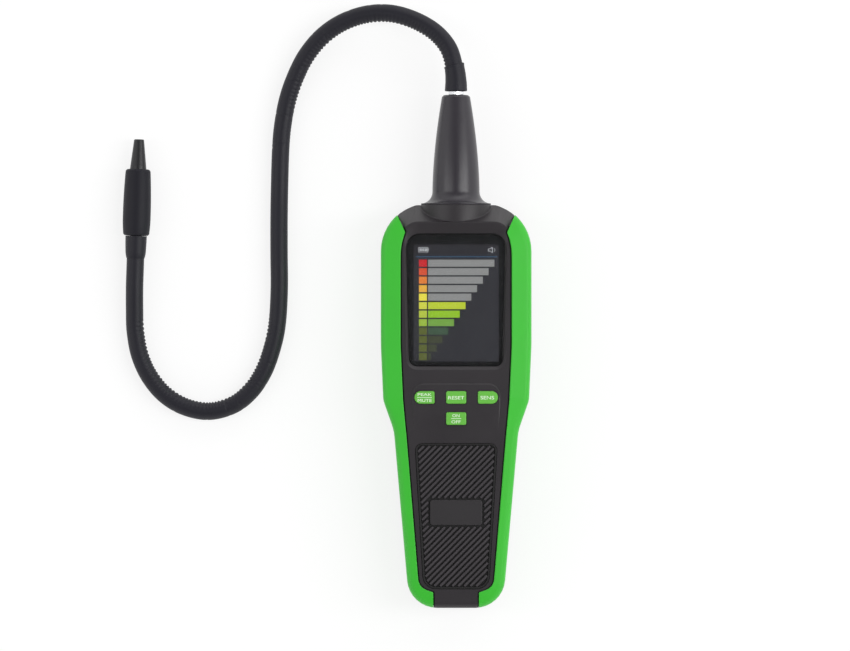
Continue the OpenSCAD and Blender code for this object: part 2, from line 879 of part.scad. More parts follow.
module battery_spring() {
  wire_r = 0.35;
  turns = 3.5;
  steps = 10;
  base = bay_y0 + contact_t;
  rise = spring_len - 2 * wire_r + 0.1;
  route = [
    for (k = [0:turns * steps])
      let (t = k / (turns * steps), r = 4.2 - 1.4 * t, a = 360 * k / steps)
      [r * cos(a), base - 0.1 + wire_r + rise * t, cell_z + r * sin(a)]
  ];
  color(metal_grey) {
    contact_plate(bay_y0);
    tube(route, 0, len(route) - 1, wire_r, wire_r, 6, [0, 1, 0]);
  }
}

module battery_door() {
  groove_n = 6;
  groove_pitch = 2.2;
  groove_w = 1;
  groove_len = 16;
  top = door_gap + door_t;
  color(housing_black)
    difference() {
      union() {
        intersection() {
          union() {
            block([-door_w / 2, foot_y, door_gap], [door_w / 2, door_end, top]);
            block([-door_w / 2 - rail_w, foot_y, top - rail_t], [door_w / 2 + rail_w, door_end, top]);
          }
          translate([0, 0, door_gap]) loft(back_dish);
        }
      }
      for (k = [0:groove_n - 1])
        translate([0, door_end - 8 - k * groove_pitch, 0])
          block([-groove_len / 2, -groove_w / 2, -1], [groove_len / 2, groove_w / 2, door_gap + 0.5]);
    }
}

// Screws

module screw(head_r, head_h, r, reach) {
  cylinder(r = head_r, h = head_h);
  cylinder(r = r, h = head_h + reach);
}

module cover_screws() {
  color(metal_grey)
    for (p = post_places)
      translate([p.x, p.y, screw_sunk - screw_head_h])
        screw(screw_head_r, screw_head_h, shank_r, split_z - screw_sunk + screw_reach);
}

module board_screws() {
  color(metal_grey)
    for (p = board_posts)
      translate([p.x, p.y, board_top - board_t - board_head_h])
        screw(board_head_r, board_head_h, board_screw_r, board_t + board_screw_reach);
}

// Spout, turned about its axis: flange, spigot, flared base, tapering wall and bore

module probe_spout() {
  base_r = spout_base_d / 2;
  root_r = spout_root_d / 2;
  top_r = spout_top_d / 2;
  chamfer = 0.9;
  flange_h = -neck_wall - 0.15;
  flare_r = base_r - root_r;
  flare_rise = flare_h - rim_h;
  taper_h = spout_len - chamfer - flare_h;
  flare = [
    for (k = [0:6])
      let (a = 15 * k) [base_r - flare_r * sin(a), rim_h + flare_rise * (1 - cos(a))]
  ];
  taper = [
    for (k = [1:10])
      let (u = k / 10) [root_r - (root_r - top_r) * pow(u, 1.7), flare_h + taper_h * u]
  ];
  color(housing_black)
    on_spout() rotate_extrude()
      polygon(concat(
        [[7.5, flange_h - 2], [flange_r, flange_h - 2], [flange_r, flange_h], [spigot_r, flange_h],
         [spigot_r, 0], [base_r, 0]],
        flare,
        taper,
        [[top_r - chamfer, spout_len], [spout_bore_r, spout_len], [spout_bore_r, spout_len - stem_len - 2],
         [7.5, 6]]
      ));
}

module hex_fitting() {
  color(metal_grey)
    on_spout(seat_y + spout_len) difference() {
      union() {
        rotate([0, 0, 30]) cylinder(r = hex_af / sqrt(3), h = hex_h, $fn = 6);
        translate([0, 0, -stem_len]) cylinder(r = stem_r, h = stem_len + 0.1);
      }
      translate([0, 0, -stem_len - 1]) cylinder(r = 1.6, h = stem_len + 1);
    }
}

// Gooseneck

module hose_collar() {
  color(rubber_black) tube(hose_route, 0, collar_steps, collar_d / 2, collar_d / 2 - 0.7, 16);
}

module gooseneck() {
  color(rubber_black) tube(hose_route, collar_steps, len(hose_route) - 1, hose_r, hose_r, 12);
}

// Probe: sleeve, grip with the sensor's chamber, nozzle with its dust filter

chamber_r = 4.7;
chamber_h = 22;
sensor_len = 13;
spigot_len = 2.6;
filter_t = 2;
grip_h = sleeve_len + grip_len;

module probe_sleeve() {
  color(rubber_black)
    on_probe() cylinder(r1 = hose_r + 0.15, r2 = hose_r + 1.05, h = sleeve_len);
}

module probe_grip() {
  rear_r = grip_d / 2;
  front_r = rear_r - 0.75;
  edge = 1.2;
  arc = [for (k = [0:4]) 22.5 * k];
  color(rubber_black)
    on_probe() rotate_extrude()
      polygon(concat(
        [[0, sleeve_len]],
        [for (a = arc) [rear_r - edge * (1 - sin(a)), sleeve_len + edge * (1 - cos(a))]],
        [for (a = arc) [front_r - edge * (1 - cos(a)), grip_h - edge * (1 - sin(a))]],
        [[nozzle_d / 2 - 0.8, grip_h], [nozzle_d / 2 - 0.8, grip_h - spigot_len - fit],
         [chamber_r, grip_h - spigot_len - fit], [chamber_r, grip_h - chamber_h], [0, grip_h - chamber_h]]
      ));
}

module probe_nozzle() {
  base_r = nozzle_d / 2;
  tip_r = base_r - 1.6;
  edge = 0.6;
  top = grip_h + nozzle_len;
  color(rubber_black)
    on_probe() rotate_extrude()
      polygon(concat(
        [[2.2, grip_h - spigot_len], [base_r - 0.9, grip_h - spigot_len], [base_r - 0.9, grip_h],
         [base_r, grip_h]],
        [for (k = [0:4]) let (a = 22.5 * k) [tip_r - edge * (1 - cos(a)), top - edge * (1 - sin(a))]],
        [[1, top], [1, grip_h + 6], [2.2, grip_h + 4]]
      ));
}

module gas_sensor() {
  color(metal_grey)
    on_probe() translate([0, 0, grip_h - chamber_h]) cylinder(r = chamber_r - 0.1, h = sensor_len);
}

module dust_filter() {
  color("white")
    on_probe() translate([0, 0, grip_h + 4 - filter_t]) cylinder(r = 2.1, h = filter_t);
}

front_cover();
rear_cover();
bumper_left();
bumper_right();
screen_lens();
display_module();
grip_pad();
key_mute();
key_reset();
key_sens();
key_power();
pill_mute();
pill_reset();
pill_sens();
pill_power();
keypad_mat();
main_board();
buzzer();
sensor_socket();
sensor_lead();
battery_cell();
battery_contact();
battery_spring();
battery_door();
cover_screws();
board_screws();
probe_spout();
hex_fitting();
hose_collar();
gooseneck();
probe_sleeve();
probe_grip();
probe_nozzle();
gas_sensor();
dust_filter();
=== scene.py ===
"""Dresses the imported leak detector, which lies on its back and is seen from straight above."""

import math

import bmesh
import bpy
from mathutils import Matrix, Vector


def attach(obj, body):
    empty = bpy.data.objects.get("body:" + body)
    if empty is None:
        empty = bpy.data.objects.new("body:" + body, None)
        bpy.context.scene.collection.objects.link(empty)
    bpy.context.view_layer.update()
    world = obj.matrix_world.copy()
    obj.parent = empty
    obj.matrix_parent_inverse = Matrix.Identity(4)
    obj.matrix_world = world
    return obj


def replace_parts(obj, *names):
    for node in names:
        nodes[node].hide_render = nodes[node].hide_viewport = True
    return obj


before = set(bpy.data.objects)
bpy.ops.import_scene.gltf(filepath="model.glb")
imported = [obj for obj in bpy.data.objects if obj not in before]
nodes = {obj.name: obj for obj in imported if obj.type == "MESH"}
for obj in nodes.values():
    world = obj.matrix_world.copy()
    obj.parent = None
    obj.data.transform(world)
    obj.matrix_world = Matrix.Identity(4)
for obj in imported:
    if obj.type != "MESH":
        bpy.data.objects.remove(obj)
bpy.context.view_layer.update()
scene = bpy.context.scene
MM = 0.001
UP = Vector((0.0, 0.0, 1.0))
ALONG_Y = Matrix.Rotation(-math.pi / 2, 4, "X")

# Sizes of the part's source, in millimetres
BODY_T = 36.0
SEAT_Y = 73.0
WAIST_Y = -39.5
HANDLE_TILT = math.atan(4.0 / 88.5)
SPOUT_Z = 18.0
SPOUT_LEN = 55.0
HOSE_R = 4.4
HOSE_LIE = 4.5
HOSE_START = 130.0
GRIP_R = 7.0
KEY_SIZE = (10.0, 6.25)
KEY_TOP = 37.0
KEY_PLACES = {"mute": (-15.75, -23.0), "reset": (0.0, -23.0), "sens": (15.75, -23.0), "power": (0.0, -33.5)}
PAD_TOP, PAD_FOOT = -6.375, -78.9
PLATE_Y = -40.82
GLASS_Y = 24.0
GLASS_TOP = 33.0
LENS_SEAT = 33.3
LENS_TOP = 34.8


def srgb(r, g, b):
    """Linear colour, with alpha, from the 0 to 255 values that a picture shows."""
    def line(v):
        v /= 255.0
        return v / 12.92 if v <= 0.04045 else ((v + 0.055) / 1.055) ** 2.4
    return (line(r), line(g), line(b), 1.0)


def step(low, high, x):
    """Smooth rise from 0 at low to 1 at high."""
    t = min(max((x - low) / (high - low), 0.0), 1.0)
    return t * t * (3.0 - 2.0 * t)


def scatter(k):
    """Number between 0 and 1 that jumps about with k, the same on every run."""
    return (math.sin(k * 12.9898) * 43758.5453) % 1.0


# Camera and stage

def make_camera():
    """Camera straight above, far enough off for an almost parallel view."""
    x, y, z = -15.5 * MM, 12.75 * MM, 20.0 * MM
    view_width, distance = 425.0 * MM, 2.6
    data = bpy.data.cameras.new("camera")
    data.sensor_fit = "HORIZONTAL"
    data.sensor_width = 36.0
    data.lens = data.sensor_width * distance / view_width
    data.clip_start, data.clip_end = 0.01, 50.0
    camera = bpy.data.objects.new("camera", data)
    camera.location = (x, y, z + distance)
    scene.collection.objects.link(camera)
    scene.camera = camera


def area_light(name, place, size, power):
    """Oblong lamp that faces the part."""
    data = bpy.data.lights.new(name, "AREA")
    data.shape = "RECTANGLE"
    data.size, data.size_y = size
    data.energy = power
    lamp = bpy.data.objects.new(name, data)
    scene.collection.objects.link(lamp)
    lamp.location = place
    lamp.rotation_euler = (-Vector(place)).to_track_quat("-Z", "Y").to_euler()


def make_world():
    """Soft room light, dim overhead and bright round the horizon."""
    world = bpy.data.worlds.new("studio")
    scene.world = world
    world.use_nodes = True
    tree = world.node_tree
    tree.nodes.clear()
    out = tree.nodes.new("ShaderNodeOutputWorld")
    back = tree.nodes.new("ShaderNodeBackground")
    back.inputs["Color"].default_value = (1.0, 1.0, 1.0, 1.0)
    place = tree.nodes.new("ShaderNodeTexCoord")
    split = tree.nodes.new("ShaderNodeSeparateXYZ")
    dimming = tree.nodes.new("ShaderNodeMapRange")
    dimming.inputs["From Min"].default_value = 0.45
    dimming.inputs["From Max"].default_value = 0.90
    dimming.inputs["To Min"].default_value = 0.95
    dimming.inputs["To Max"].default_value = 0.10
    tree.links.new(place.outputs["Generated"], split.inputs["Vector"])
    tree.links.new(split.outputs["Z"], dimming.inputs["Value"])
    tree.links.new(dimming.outputs["Result"], back.inputs["Strength"])
    tree.links.new(back.outputs["Background"], out.inputs["Surface"])


def make_floor():
    """White floor: to the camera, and in reflections, most of its white is its own, so shadows stay faint."""
    half, z = 6.0, -0.05 * MM
    corners = [(-half, -half, z), (half, -half, z), (half, half, z), (-half, half, z)]
    mesh = bpy.data.meshes.new("floor")
    mesh.from_pydata(corners, [], [(0, 1, 2, 3)])
    floor = bpy.data.objects.new("floor", mesh)
    scene.collection.objects.link(floor)
    mat = bpy.data.materials.new("floor_paint")
    mat.use_nodes = True
    tree = mat.node_tree
    tree.nodes.clear()
    out = tree.nodes.new("ShaderNodeOutputMaterial")
    plain = tree.nodes.new("ShaderNodeBsdfDiffuse")
    plain.inputs["Color"].default_value = (0.9, 0.9, 0.9, 1.0)
    seen = tree.nodes.new("ShaderNodeBsdfDiffuse")
    seen.inputs["Color"].default_value = (0.25, 0.25, 0.25, 1.0)
    glow = tree.nodes.new("ShaderNodeEmission")
    glow.inputs["Strength"].default_value = 0.79
    both = tree.nodes.new("ShaderNodeAddShader")
    ray = tree.nodes.new("ShaderNodeLightPath")
    mirrored = tree.nodes.new("ShaderNodeMath")
    mirrored.operation = "MAXIMUM"
    direct = tree.nodes.new("ShaderNodeMath")
    direct.operation = "MAXIMUM"
    mix = tree.nodes.new("ShaderNodeMixShader")
    tree.links.new(ray.outputs["Is Camera Ray"], mirrored.inputs[0])
    tree.links.new(ray.outputs["Is Glossy Ray"], mirrored.inputs[1])
    tree.links.new(mirrored.outputs[0], direct.inputs[0])
    tree.links.new(ray.outputs["Is Transmission Ray"], direct.inputs[1])
    tree.links.new(seen.outputs[0], both.inputs[0])
    tree.links.new(glow.outputs[0], both.inputs[1])
    tree.links.new(direct.outputs[0], mix.inputs[0])
    tree.links.new(plain.outputs[0], mix.inputs[1])
    tree.links.new(both.outputs[0], mix.inputs[2])
    tree.links.new(mix.outputs[0], out.inputs["Surface"])
    mesh.materials.append(mat)


def make_stage():
    """White floor, room light, and a lamp from the right, the left and beyond the head."""
    scene.view_settings.view_transform = "Standard"
    make_world()
    make_floor()
    area_light("key", place=(1.4, 0.1, 1.8), size=(0.6, 1.8), power=19.0)
    area_light("fill", place=(-1.35, 0.1, 1.85), size=(0.4, 1.8), power=7.5)
    area_light("head", place=(0.9, 2.0, 1.0), size=(2.4, 1.1), power=9.0)


make_camera()
make_stage()


# Materials

def finish(name, colour, rough, grain=0.0, grain_size=0.35, mottle=0.06,
           metallic=0.0, coat=0.0, sheen=0.0, gleam=0.5):
    """Moulded or metal surface: colour that varies a little, uneven gloss and a fine grain, sizes in mm."""
    noise_low, noise_high, gloss_change, smoothest = 0.15, 0.85, 0.05, 0.02
    mat = bpy.data.materials.new(name)
    mat.use_nodes = True
    tree = mat.node_tree
    shader = tree.nodes["Principled BSDF"]
    place = tree.nodes.new("ShaderNodeTexCoord")

    cloud = tree.nodes.new("ShaderNodeTexNoise")
    cloud.inputs["Scale"].default_value = 60.0
    cloud.inputs["Detail"].default_value = 4.0
    tree.links.new(place.outputs["Object"], cloud.inputs["Vector"])
    tint = tree.nodes.new("ShaderNodeValToRGB")
    dark, light = tint.color_ramp.elements
    dark.position, light.position = noise_low, noise_high
    dark.color = [c * (1 - mottle) for c in colour[:3]] + [1.0]
    light.color = [min(1.0, c * (1 + mottle)) for c in colour[:3]] + [1.0]
    tree.links.new(cloud.outputs["Fac"], tint.inputs["Fac"])
    tree.links.new(tint.outputs["Color"], shader.inputs["Base Color"])

    gloss = tree.nodes.new("ShaderNodeMapRange")
    gloss.inputs["From Min"].default_value = noise_low
    gloss.inputs["From Max"].default_value = noise_high
    gloss.inputs["To Min"].default_value = max(smoothest, rough - gloss_change)
    gloss.inputs["To Max"].default_value = rough + gloss_change
    tree.links.new(cloud.outputs["Fac"], gloss.inputs["Value"])
    tree.links.new(gloss.outputs["Result"], shader.inputs["Roughness"])

    if grain:
        speck = tree.nodes.new("ShaderNodeTexNoise")
        speck.inputs["Scale"].default_value = 1.0 / (grain_size * MM)
        speck.inputs["Detail"].default_value = 2.0
        tree.links.new(place.outputs["Object"], speck.inputs["Vector"])
        bump = tree.nodes.new("ShaderNodeBump")
        bump.inputs["Strength"].default_value = 1.0
        bump.inputs["Distance"].default_value = grain * MM
        tree.links.new(speck.outputs["Fac"], bump.inputs["Height"])
        tree.links.new(bump.outputs["Normal"], shader.inputs["Normal"])
    shader.inputs["Metallic"].default_value = metallic
    shader.inputs["Coat Weight"].default_value = coat
    shader.inputs["Sheen Weight"].default_value = sheen
    shader.inputs["Specular IOR Level"].default_value = gleam
    return mat


def clear_sheet(name):
    """Clear acrylic with faint smears in its polish."""
    mat = finish(name, (0.93, 0.95, 0.97, 1.0), 0.06, mottle=0.01)
    shader = mat.node_tree.nodes["Principled BSDF"]
    shader.inputs["Transmission Weight"].default_value = 1.0
    shader.inputs["IOR"].default_value = 1.4
    return mat


def lit(name, colour):
    """Pixels of the display: they give their own light, and it flickers a little from dot to dot."""
    dot_size, dimmest = 0.5 * MM, 0.9
    mat = finish(name, (0.004, 0.004, 0.005, 1.0), 0.5, mottle=0.02)
    tree = mat.node_tree
    shader = tree.nodes["Principled BSDF"]
    shader.inputs["Emission Strength"].default_value = 1.0
    place = tree.nodes.new("ShaderNodeTexCoord")
    dots = tree.nodes.new("ShaderNodeTexVoronoi")
    dots.inputs["Scale"].default_value = 1.0 / dot_size
    tint = tree.nodes.new("ShaderNodeValToRGB")
    centre, border = tint.color_ramp.elements
    centre.color = colour
    border.color = [c * dimmest for c in colour[:3]] + [1.0]
    tree.links.new(place.outputs["Object"], dots.inputs["Vector"])
    tree.links.new(dots.outputs["Distance"], tint.inputs["Fac"])
    tree.links.new(tint.outputs["Color"], shader.inputs["Emission Color"])
    return mat


MAT = {
    "housing": finish("housing_plastic", srgb(40, 36, 40), 0.45, grain=0.02, grain_size=0.4),
    "spout": finish("spout_plastic", srgb(53, 50, 56), 0.31, grain=0.004, grain_size=0.6),
    "green": finish("bumper_rubber", srgb(54, 194, 44), 0.47, grain=0.01, mottle=0.04, sheen=0.2, gleam=0.4),
    "key": finish("key_rubber", srgb(106, 194, 70), 0.40, grain=0.006, grain_size=0.3, mottle=0.05),
    "legend": finish("legend_ink", srgb(226, 248, 216), 0.5, mottle=0.02),
    "pad": finish("pad_rubber", srgb(40, 37, 40), 0.52, grain=0.010, grain_size=0.3),
    # Ribs: the pad's rubber painted lighter, as a painted highlight on their tops.
    "rib": finish("rib_painted_highlight", srgb(57, 53, 57), 0.50, grain=0.010, grain_size=0.3),
    # Pad floor and rim: the pad's rubber painted near-black, as painted shade in the gaps between the ribs.
    "groove": finish("groove_rubber", srgb(9, 8, 9), 0.60, grain=0.010, grain_size=0.3),
    "hose": finish("hose_rubber", srgb(23, 22, 33), 0.52, grain=0.01, grain_size=0.4, mottle=0.1, gleam=0.4),
    "probe": finish("probe_rubber", srgb(19, 18, 29), 0.58, grain=0.012, grain_size=0.4, gleam=0.35),
    "nozzle": finish("nozzle_plastic", srgb(32, 32, 35), 0.38, grain=0.004, grain_size=0.4),
    "chrome": finish("plated_brass", srgb(232, 233, 236), 0.10, mottle=0.02, metallic=1.0),
    "steel": finish("zinc_steel", srgb(170, 170, 172), 0.3, mottle=0.06, metallic=1.0),
    "panel": finish("display_frame", srgb(150, 152, 155), 0.35, metallic=1.0),
    "mask": finish("lens_print", srgb(4, 4, 6), 0.7, mottle=0.03),
    "rim": finish("lens_edge", srgb(12, 12, 14), 0.25, mottle=0.03),
    "lens": clear_sheet("lens_acrylic"),
    "board": finish("board_laminate", srgb(28, 90, 52), 0.4, mottle=0.1),
    "carbon": finish("carbon_rubber", srgb(22, 22, 22), 0.6, grain=0.01),
    "ivory": finish("socket_plastic", srgb(228, 222, 202), 0.4),
    "lead": finish("lead_sheath", srgb(150, 30, 28), 0.4),
    "cell": finish("cell_sleeve", srgb(40, 80, 150), 0.3, coat=0.3),
}


# Mesh helpers

def even_shading(piece):
    """Lets large faces settle the shading, so that a flat face beside a rounded edge stays flat."""
    even = piece.modifiers.new("shading", "WEIGHTED_NORMAL")
    even.keep_sharp = True
    even.weight = 80


def new_piece(name, verts, faces, material, slot, body="housing", place=None, sharp=40.0):
    """Piece from points in mm, set by a 4 by 4 place, with its normals outwards and smooth up to an angle."""
    form = bmesh.new()
    made = [form.verts.new((place @ Vector(v) if place else Vector(v)) * MM) for v in verts]
    for face in faces:
        form.faces.new([made[i] for i in face])
    bmesh.ops.remove_doubles(form, verts=form.verts, dist=1e-7)
    bmesh.ops.recalc_face_normals(form, faces=form.faces)
    mesh = bpy.data.meshes.new(name)
    form.to_mesh(mesh)
    form.free()
    for poly in mesh.polygons:
        poly.use_smooth = True
    mesh.set_sharp_from_angle(angle=math.radians(sharp))
    mesh.materials.append(material)
    piece = bpy.data.objects.new(name, mesh)
    scene.collection.objects.link(piece)
    even_shading(piece)
    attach(piece, body)
    return piece


def ring_faces(count, size, loop=False, start=0):
    """Faces through count rings of size points each, closed by two caps or, as a loop, by its first ring."""
    faces = []
    for i in range(count if loop else count - 1):
        near, far = start + i * size, start + (i + 1) % count * size
        for k in range(size):
            m = (k + 1) % size
            faces.append([near + k, near + m, far + m, far + k])
    if not loop:
        last = start + (count - 1) * size
        faces.append([start + k for k in range(size)])
        faces.append([last + k for k in range(size)])
    return faces


def loft(name, rings, material, slot, loop=False, **how):
    """Piece with a skin through rings of equally many points."""
    verts = [p for ring in rings for p in ring]
    return new_piece(name, verts, ring_faces(len(rings), len(rings[0]), loop), material, slot, **how)


def lathe(name, profile, place, material, slot, segments=96, loop=False, **how):
    """Turns a profile of radius and height about the axis of its place."""
    turn = [math.tau * k / segments for k in range(segments)]
    rings = [[(r * math.cos(a), r * math.sin(a), h) for a in turn] for r, h in profile]
    return loft(name, rings, material, slot, loop, place=place, **how)


def rounded(corners):
    """Outline, anticlockwise, with arcs at its corners, which are given as x, y and radius."""
    steps = 8
    points = []
    for i, (x, y, r) in enumerate(corners):
        a, b, c = Vector(corners[i - 1][:2]), Vector((x, y)), Vector(corners[(i + 1) % len(corners)][:2])
        u, v = (a - b).normalized(), (c - b).normalized()
        half = u.angle(v) / 2
        centre = b + (u + v).normalized() * r / math.sin(half)
        first = b + u * r / math.tan(half) - centre
        begin = math.atan2(first.y, first.x)
        for k in range(steps + 1):
            turn = begin + (math.pi - 2 * half) * k / steps
            points.append(centre + r * Vector((math.cos(turn), math.sin(turn))))
    return points


def bar(w, h, left_r, right_r, x=0.0, y=0.0):
    """Outline of a bar about a point, with a corner radius for its left and its right end."""
    left, right, low, high = x - w / 2, x + w / 2, y - h / 2, y + h / 2
    return rounded([(left, low, left_r), (right, low, right_r), (right, high, right_r), (left, high, left_r)])


def grown(outline, d):
    """The outline moved outwards by d."""
    moved = []
    for i, p in enumerate(outline):
        along = (outline[(i + 1) % len(outline)] - outline[i - 1]).normalized()
        moved.append(p + d * Vector((along.y, -along.x)))
    return moved


def level(outline, z):
    """Ring of a flat outline at a height."""
    return [(p.x, p.y, z) for p in outline]


def edge_rings(outline, top, r):
    """Rings that round the upper edge of an outline to radius r."""
    steps = 4
    turns = [math.pi / 2 * k / steps for k in range(steps + 1)]
    return [level(grown(outline, -r * (1 - math.cos(a))), top - r * (1 - math.sin(a))) for a in turns]


def edge_room(edge, sharp):
    """Width that the rounding of an edge can take before it runs into its neighbours."""
    straight, whole_share, half_share = math.radians(120), 0.9, 0.45
    room = math.inf
    for vert in edge.verts:
        ahead = edge.other_vert(vert).co - vert.co
        for near in vert.link_edges:
            away = near.other_vert(vert).co - vert.co
            turn = ahead.angle(away)
            if near == edge or (near in sharp and turn > straight):
                continue
            shared = any(e in sharp for e in near.other_vert(vert).link_edges)
            room = min(room, away.length * math.sin(turn) * (half_share if shared else whole_share))
    return room


def shell(node, material, width, span=(-math.inf, math.inf), body="housing"):
    """Shows a copy of a node's mesh in its place, with facets joined and the edges in a span of y rounded."""
    weld, flat, fold, slight = 0.12 * MM, math.radians(0.5), math.radians(30), 0.1
    mesh = nodes[node].data.copy()
    piece = bpy.data.objects.new(node + "_shell", mesh)
    scene.collection.objects.link(piece)
    form = bmesh.new()
    form.from_mesh(mesh)
    bmesh.ops.remove_doubles(form, verts=form.verts, dist=weld)
    bmesh.ops.dissolve_limit(form, angle_limit=flat, verts=form.verts, edges=form.edges)
    weights = form.edges.layers.float.new("bevel_weight_edge")
    sharp = {e for e in form.edges if e.calc_face_angle(0.0) > fold}
    for edge in sharp:
        if all(span[0] * MM < v.co.y < span[1] * MM for v in edge.verts):
            edge[weights] = min(1.0, edge_room(edge, sharp) / (width * MM))
        edge.smooth = edge[weights] > slight
    for face in form.faces:
        face.smooth = True
    form.to_mesh(mesh)
    form.free()
    mesh.materials.clear()
    mesh.materials.append(material)
    bevel = piece.modifiers.new("edges", "BEVEL")
    bevel.width = width * MM
    bevel.segments = 3
    bevel.limit_method = "WEIGHT"
    bevel.use_clamp_overlap = False
    even_shading(piece)
    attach(piece, body)
    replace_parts(piece, node)


# Gooseneck and probe

def fall(share):
    """Height on the way from the spout's axis down to the floor."""
    return SPOUT_Z + (HOSE_LIE - SPOUT_Z) * share


def lift(share):
    """Height on the way from the floor up to the probe's axis."""
    return HOSE_LIE + (GRIP_R - HOSE_LIE) * share


# Route of the hose from the fitting to the probe, with y counted from the fitting
HOSE_POINTS = [
    (0, 0, fall(0)), (0, 3, fall(0)), (0, 6, fall(0)), (-1, 13, fall(0)), (-4, 22, fall(0.03)),
    (-11, 30, fall(0.08)), (-21.5, 36, fall(0.18)), (-33, 39.2, fall(0.3)), (-45, 38.8, fall(0.44)),
    (-57, 34.8, fall(0.58)), (-67, 28, fall(0.7)), (-75, 18.6, fall(0.81)), (-80.5, 8, fall(0.89)),
    (-84.4, -3, fall(0.95)), (-86.8, -15, fall(0.985)), (-88, -27, fall(1)), (-88.6, -45, fall(1)),
    (-88.9, -63, fall(1)), (-88.9, -81, fall(1)), (-88.8, -99, fall(1)), (-89.8, -116, fall(1)),
    (-92.2, -128, fall(1)), (-96.5, -140, fall(1)), (-103, -150, fall(1)), (-112, -157.2, fall(1)),
    (-124, -160.4, fall(1)), (-136, -158.2, fall(1)), (-146.2, -152.2, fall(1)), (-154, -143, lift(0)),
    (-159, -132, lift(0.05)), (-161.2, -120, lift(0.25)), (-161.5, -109, lift(0.65)),
    (-161.45, -98, lift(1)), (-161.2, -90, lift(1)), (-161, -83.5, lift(1)),
]


def spline(points, steps):
    """Catmull-Rom curve through the points."""
    curve = []
    last = len(points) - 1
    for i in range(last):
        a, b, c, d = points[max(i - 1, 0)], points[i], points[i + 1], points[min(i + 2, last)]
        for k in range(steps):
            t = k / steps
            curve.append(b + t / 2 * (c - a + t * (2 * a - 5 * b + 4 * c - d + t * (3 * b - a - 3 * c + d))))
    return curve + [points[last]]


def even_steps(curve, gap):
    """Points along a curve at nearly the given gap, with both its ends."""
    reach = [0.0]
    for a, b in zip(curve, curve[1:]):
        reach.append(reach[-1] + (b - a).length)
    count = round(reach[-1] / gap)
    points, i = [], 0
    for k in range(count + 1):
        s = reach[-1] * k / count
        while i < len(curve) - 2 and reach[i + 1] < s:
            i += 1
        points.append(curve[i].lerp(curve[i + 1], (s - reach[i]) / (reach[i + 1] - reach[i])))
    return points, reach[-1]


HOSE_GAP = 0.4
bends = [Vector((x, HOSE_START + y, z)) for x, y, z in HOSE_POINTS]
route, hose_len = even_steps(spline(bends, steps=24), HOSE_GAP)


def route_frame(i):
    """Place, side and upward direction of the route at a point."""
    ahead = (route[min(i + 1, len(route) - 1)] - route[max(i - 1, 0)]).normalized()
    side = UP.cross(ahead).normalized()
    return route[i], side, ahead.cross(side)


def route_bend(i):
    """Curvature of the route in plan, per mm, positive where it turns towards its side."""
    reach = 14
    a, b = max(i - reach, 0), min(i + reach, len(route) - 1)
    middle = (a + b) // 2
    _, side, _ = route_frame(middle)
    before = (route[middle] - route[a]).normalized()
    after = (route[b] - route[middle]).normalized()
    return (after - before).dot(side) / ((b - a) / 2 * HOSE_GAP)


def scattered_creases(numbers, begin, end, depth):
    """Creases between two distances along the hose: the distance, the turn about it and the depth of each."""
    return [
        (begin + (end - begin) * scatter(k), math.tau * scatter(k + 40), depth + 0.10 * scatter(k + 80))
        for k in numbers
    ]


def make_hose():
    """Rubber sleeve that wrinkles on the inside of its bends and has small creases elsewhere."""
    sides, pitch, crease_half, crease_reach = 32, 2.0, 0.55, 2.0
    creases = scattered_creases(range(16), 62.0, 157.0, 0.10)
    creases += scattered_creases(range(20, 30), 265.0, 340.0, 0.08)
    rings = []
    for i in range(len(route)):
        p, side, up = route_frame(i)
        s = i * HOSE_GAP
        bend = route_bend(i)
        wrinkle = step(0.005, 0.016, abs(bend)) * step(13.0, 15.0, s)
        drift = 0.5 * math.sin(s / 6.1) + 0.3 * math.sin(s / 2.3)
        wave = abs(math.sin(math.pi * (s + drift) / pitch))
        size = 1.0 + 0.25 * math.sin(s / 4.7)
        near = [crease for crease in creases if abs(s - crease[0]) < crease_reach]
        ring = []
        for k in range(sides):
            a = math.tau * k / sides
            inner = max(0.0, math.cos(a) * math.copysign(1.0, bend)) ** 1.3
            r = HOSE_R + wrinkle * inner * size * (0.6 * wave - 0.4)
            for at, turn, depth in near:
                fade = math.exp(-((s - at) / crease_half) ** 2)
                r -= depth * fade * max(0.0, math.cos((a - turn) / 2)) ** 4
            ring.append(p + r * (math.cos(a) * side + math.sin(a) * up))
        rings.append(ring)
    return loft("gooseneck_sleeve", rings, MAT["hose"], "hose_rubber", sharp=75.0)


def make_collar():
    """Moulded collar over the root of the hose, with a small lip round its open end."""
    profile = [
        (4.2, 0.0), (5.3, 0.0), (5.48, 0.1), (5.58, 0.3), (5.6, 0.6), (5.38, 4.5), (5.14, 8.5), (4.98, 11.8),
        (5.02, 12.2), (5.14, 12.5), (5.18, 12.8), (5.1, 13.1), (4.85, 13.25), (4.3, 13.2),
    ]
    turns = [math.tau * k / 64 for k in range(64)]
    rings = []
    for r, s in profile:
        nearest = round(s / HOSE_GAP)
        p, side, up = route_frame(nearest)
        p = p + side.cross(up) * (s - nearest * HOSE_GAP)
        rings.append([p + r * (math.cos(a) * side + math.sin(a) * up) for a in turns])
    return loft("root_collar", rings, MAT["hose"], "hose_rubber")


